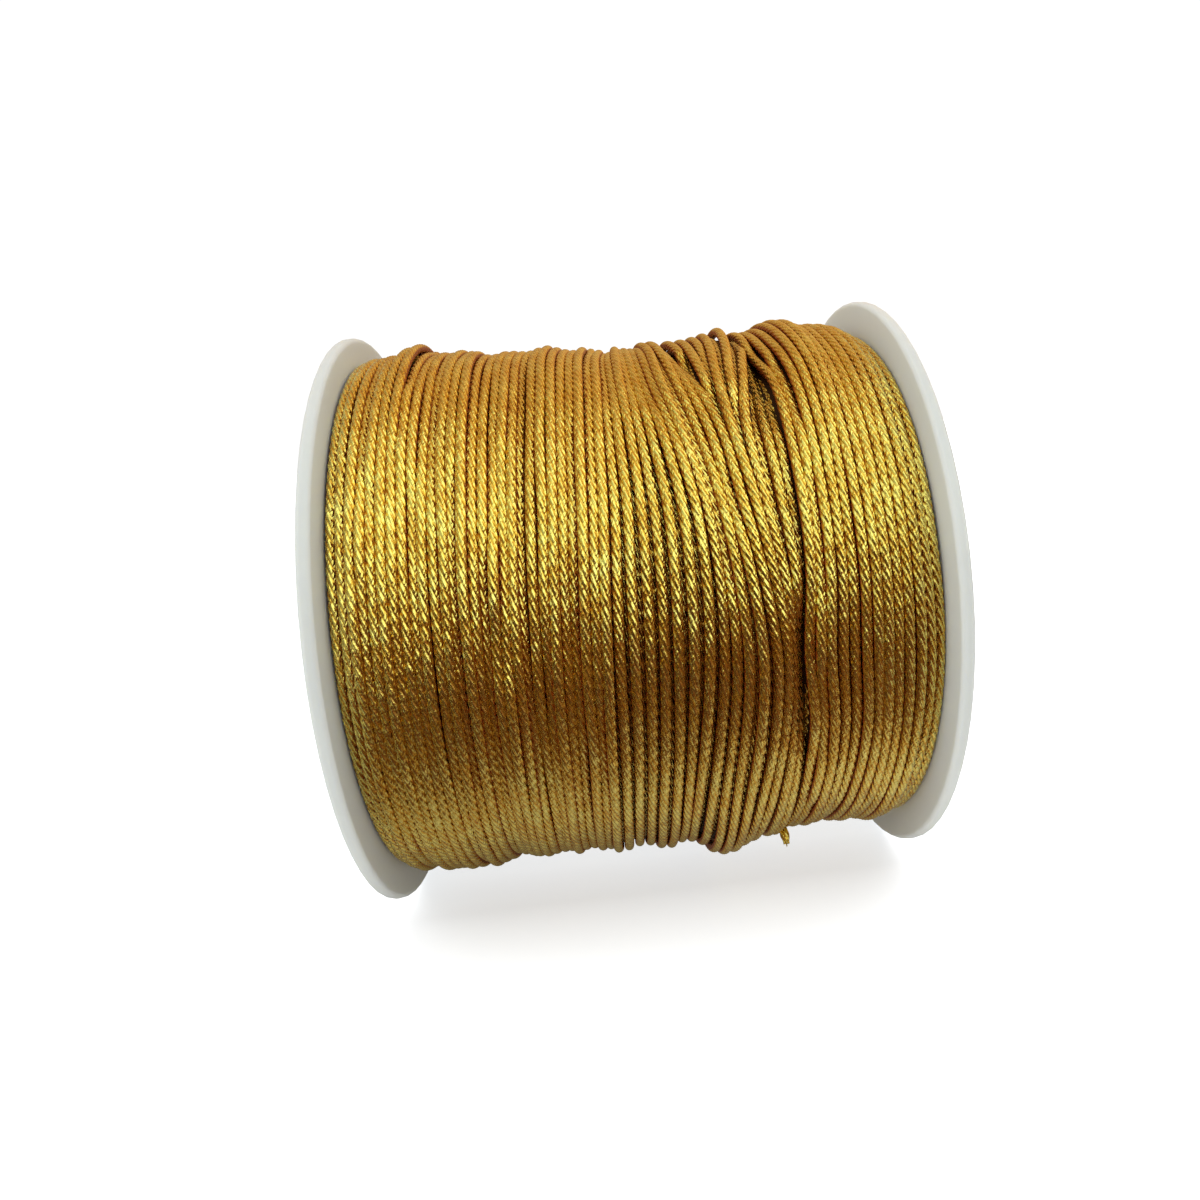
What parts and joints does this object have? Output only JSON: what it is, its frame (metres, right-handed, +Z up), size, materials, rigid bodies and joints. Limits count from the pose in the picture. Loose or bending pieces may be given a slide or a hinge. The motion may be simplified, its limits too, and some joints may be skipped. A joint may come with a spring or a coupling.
{
  "type": "metallic braided cord wound on a flanged plastic spool",
  "caption": "Round metallic gold braided cord wound in close, slightly crossed turns on a milky plastic spool with two round flanges and a through bore.",
  "frame": {"origin": "on the ground, midway between the two flanges and straight under the spool's axis", "axes": "+X along the spool's axis to the right flange, -Y to the front of the winding, +Z up"},
  "size_m": [0.0544, 0.06, 0.0599],
  "materials": {
    "milky_plastic": "milky white translucent moulded plastic, soft gloss, rounded rims",
    "gold_braid": "fine metallic gold filament braid, bright flecks over warm brown gaps"
  },
  "bodies": {
    "root": {"spool": "milky_plastic", "wound_cord": "gold_braid", "cord_end": "gold_braid"}
  },
  "joints": []
}
